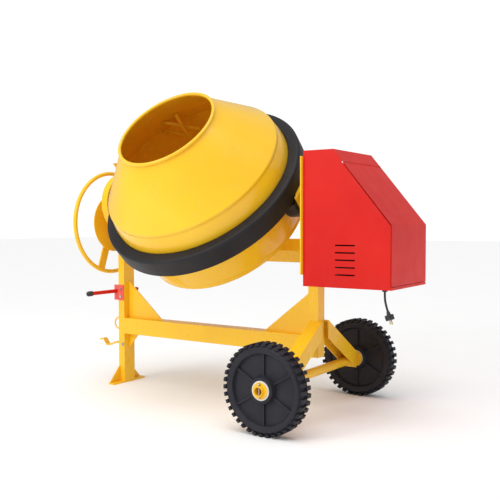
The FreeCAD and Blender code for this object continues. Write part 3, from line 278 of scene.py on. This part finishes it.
drum_yellow = finish("drum_yellow", YELLOW, YELLOW_SHADE, 0.20, 300.0, 0.0005, coat=0.3, gloss=0.4,
                     dust_amount=0.03)
bowl_outside = [(45, -203), (108, -203), (120, -202), (365, -170)] + arc(384, -99, 74, -75, -48, 4)
bowl_outside += arc(417, -122, 20, -45, -6, 4)
bowl_outside += [(463, 128), (463.6, 150), (460, 180), (454, 207), (446.5, 229)]
bowl_inside = [(443, 229), (450.5, 207), (456.5, 180), (460, 150), (459.4, 128), (433, -120)]
bowl_inside += arc(411, -122, 20, -6, -45, 4)[1:] + [(364, -166), (118, -198.5), (45, -199.5)]
bowl = spun_piece("drum_bowl_shell", bowl_outside + bowl_inside, DRUM_STEPS, drum_place)
settle(bowl, drum_yellow, "yellow_paint", "drum", "drum_bowl")
cone_outside = [(446.3, 223.5), (448.2, 225), (449, 229), (449, 237)] + arc(439, 237, 10, 6, 50, 5)
cone_outside += [(244.5, 470.5)] + arc(242, 479.4, 8, -80, 222, 22)
cone_inside = [(236.4, 472.5), (438, 242.5)] + arc(435, 237, 7.6, 50, 0, 4) + [(442.6, 229), (445.9, 228)]
cone = spun_piece("drum_cone_shell", cone_outside + cone_inside, DRUM_STEPS, drum_place)
settle(cone, drum_yellow, "yellow_paint", "drum", "drum_cone")
coat_nodes(yellow_paint, "yellow_paint", "gear_hoop")
coat_nodes(zinc, "zinc", "drum_bolts")

# ---------------------------------------------------------------- mixing blades
# Three sets of bent round bar, welded to the shell inside. Their ends are cut to the shell's inner
# face, and they are painted with it.
room_inside = [(0, -196), (118, -196), (364, -163), (431, -120), (458, 128), (458.5, 150), (455, 180),
               (449, 207), (440.5, 235), (236, 466), (0, 466)]
cavity = spun_piece("drum_cavity", room_inside, 96, drum_place)
blades = nodes["mixing_blades"].copy()
blades.data = nodes["mixing_blades"].data.copy()
blades.name = "blade_bars"
bpy.context.scene.collection.objects.link(blades)
bpy.ops.object.select_all(action="DESELECT")
blades.select_set(True)
bpy.context.view_layer.objects.active = blades
bpy.ops.object.mode_set(mode="EDIT")
bpy.ops.mesh.select_all(action="SELECT")
bpy.ops.mesh.remove_doubles(threshold=TOUCHING)
bpy.ops.object.mode_set(mode="OBJECT")
trim = blades.modifiers.new("trim", "BOOLEAN")
trim.operation = "INTERSECT"
trim.solver = "EXACT"
trim.object = cavity
bpy.ops.object.modifier_apply(modifier="trim")
bpy.data.objects.remove(cavity)
bpy.ops.object.shade_smooth_by_angle(angle=math.radians(SMOOTH_ANGLE))
settle(blades, yellow_paint, "yellow_paint", "drum", "mixing_blades")

# ---------------------------------------------------------------- ring gear and its guard
# The cast ring is bolted up under the hoop. A black plastic guard in four quarters covers it from
# outside and above, and the quarters meet at fine slits.
guard_plastic = finish("guard_plastic", (0.014, 0.013, 0.016), (0.020, 0.019, 0.022), 0.42, 900.0, 0.0003,
                       gloss=0.22, dust_amount=0.02)
coat_nodes(cast_iron, "cast_iron", "ring_gear", "drive_pinion")
guard_outline = [(516, 47), (520, 47), (520, 50)] + arc(505, 127, 15, 0, 90, 7)
guard_outline += [(468, 142), (466, 140.5), (466, 138)] + arc(504, 126, 12, 90, 0, 6)
GUARD_SLIT, GUARD_STEPS = math.radians(0.06), 40
for quarter in range(4):
    segment = spun_piece(f"guard_quarter_{quarter}", guard_outline, GUARD_STEPS, drum_place,
                         start=quarter * ROUND / 4 + GUARD_SLIT, sweep=ROUND / 4 - 2 * GUARD_SLIT)
    settle(segment, guard_plastic, "grey_plastic", "yoke", *(["gear_guard"] if quarter == 0 else []))
coat_nodes(guard_plastic, "grey_plastic", "pinion_cover")

# ---------------------------------------------------------------- tilting gear case and handwheel
# A round case on the front post's head hides a gear pair. The handwheel is a rolled tube on one flat
# bar, with a plain round plate behind it that carries its hub.
coat_nodes(yellow_paint, "yellow_paint", "gear_case", "gear_case_lid", "handwheel_rim", "handwheel_spoke",
           "lock_disc")
coat_nodes(turned_steel, "steel", "handwheel_shaft")
coat_nodes(cast_iron, "cast_iron", "tilt_gear", "tilt_pinion")

# ---------------------------------------------------------------- tilt lock: pedal, plunger, pull rod
# A cranked flat pedal on a pin lifts the lock, and a red rod with a black knob slides in a sleeve
# that two bolts hold to the post.
RED, RED_SHADE = (0.72, 0.016, 0.010), (0.66, 0.013, 0.010)
red_paint = finish("red_paint", RED, RED_SHADE, 0.36, 420.0, 0.0004, gloss=0.18, dust_amount=0.02)
# The sleeve bracket gets a lighter, pinker copy of the red paint: a painted highlight for its front face,
# which faces the lamp. Its dust patches are real dust.
painted_lit_red = finish("painted_lit_red", (0.86, 0.115, 0.085), (0.80, 0.095, 0.07), 0.36, 420.0, 0.0004,
                   dust_amount=0.05)
coat_nodes(yellow_paint, "yellow_paint", "lock_pedal")
coat_nodes(red_paint, "red_paint", "latch_rod")
coat_nodes(painted_lit_red, "red_paint", "latch_bracket")
coat_nodes(black_rubber, "black_plastic", "latch_knob")
coat_nodes(turned_steel, "steel", "pedal_pin", "lock_plunger")

# ---------------------------------------------------------------- drive in the motor house
# Motor on a shelf, V-belt to a large pulley, and a shaft through the rear trunnion to the pinion.
motor_paint = finish("motor_paint", (0.09, 0.11, 0.13), (0.07, 0.09, 0.11), 0.42, 420.0, 0.0004)
belt_rubber = finish("belt_rubber", (0.018, 0.018, 0.018), (0.030, 0.030, 0.030), 0.70, 300.0, 0.0004)
coat_nodes(yellow_paint, "yellow_paint", "motor_plate", "motor_shelf")
coat_nodes(cast_iron, "cast_iron", "rear_bearing_block", "large_pulley", "small_pulley")
coat_nodes(turned_steel, "steel", "pinion_shaft", "motor_rotor")
coat_nodes(motor_paint, "motor_grey", "motor_casing")
coat_nodes(belt_rubber, "belt_rubber", "v_belt")

# ---------------------------------------------------------------- motor house
# A folded cover of 2 mm sheet with pressed louvres, and a door that is hinged across the slope.
coat_nodes(red_paint, "red_paint", "house_cover", "house_door")
coat_nodes(red_paint, "zinc", "door_hinge")

# ---------------------------------------------------------------- studio
# Plain pale floor, an even white surround, one large soft light and a wide soft sun from above.
studio = bpy.data.worlds.new("studio")
bpy.context.scene.world = studio
studio.use_nodes = True
surround = studio.node_tree.nodes["Background"]
surround.inputs["Color"].default_value = (1.0, 1.0, 1.0, 1.0)
SURROUND_LIGHT, SURROUND_SEEN = 0.5, 1.05
rays = studio.node_tree.nodes.new("ShaderNodeLightPath")
studio.node_tree.links.new(
    spread(studio.node_tree, rays.outputs["Is Camera Ray"], 0.0, 1.0, SURROUND_LIGHT, SURROUND_SEEN),
    surround.inputs["Strength"])
bpy.context.scene.view_settings.view_transform = "Standard"


KEY_PLACE, KEY_AIM, KEY_SIZE, KEY_POWER = (-1.2, -3.8, 2.8), (0.0, 0.0, 0.8), 1.8, 60.0
key_data = bpy.data.lights.new("key_light", "AREA")
key_data.size = KEY_SIZE
key_data.energy = KEY_POWER
key_light = bpy.data.objects.new("key_light", key_data)
key_light.location = KEY_PLACE
key_light.rotation_euler = (Vector(KEY_AIM) - Vector(KEY_PLACE)).to_track_quat("-Z", "Y").to_euler()
bpy.context.scene.collection.objects.link(key_light)

SUN_POWER, SUN_WIDTH, SUN_LEAN = 1.6, 60, (18, 6)    # width and lean in degrees
sun_data = bpy.data.lights.new("sky_light", "SUN")
sun_data.energy = SUN_POWER
sun_data.angle = math.radians(SUN_WIDTH)
sun = bpy.data.objects.new("sky_light", sun_data)
sun.rotation_euler = (math.radians(SUN_LEAN[0]), math.radians(SUN_LEAN[1]), 0.0)
bpy.context.scene.collection.objects.link(sun)

floor_finish = finish("studio_floor", (0.99, 0.99, 0.99), (0.98, 0.98, 0.98), 0.9,
                      40.0, 0.0001, dust_amount=0.0)
bpy.ops.object.select_all(action="DESELECT")
bpy.ops.mesh.primitive_plane_add(size=60.0)
floor = bpy.context.object
floor.name = "studio_floor"
floor.data.materials.append(floor_finish)
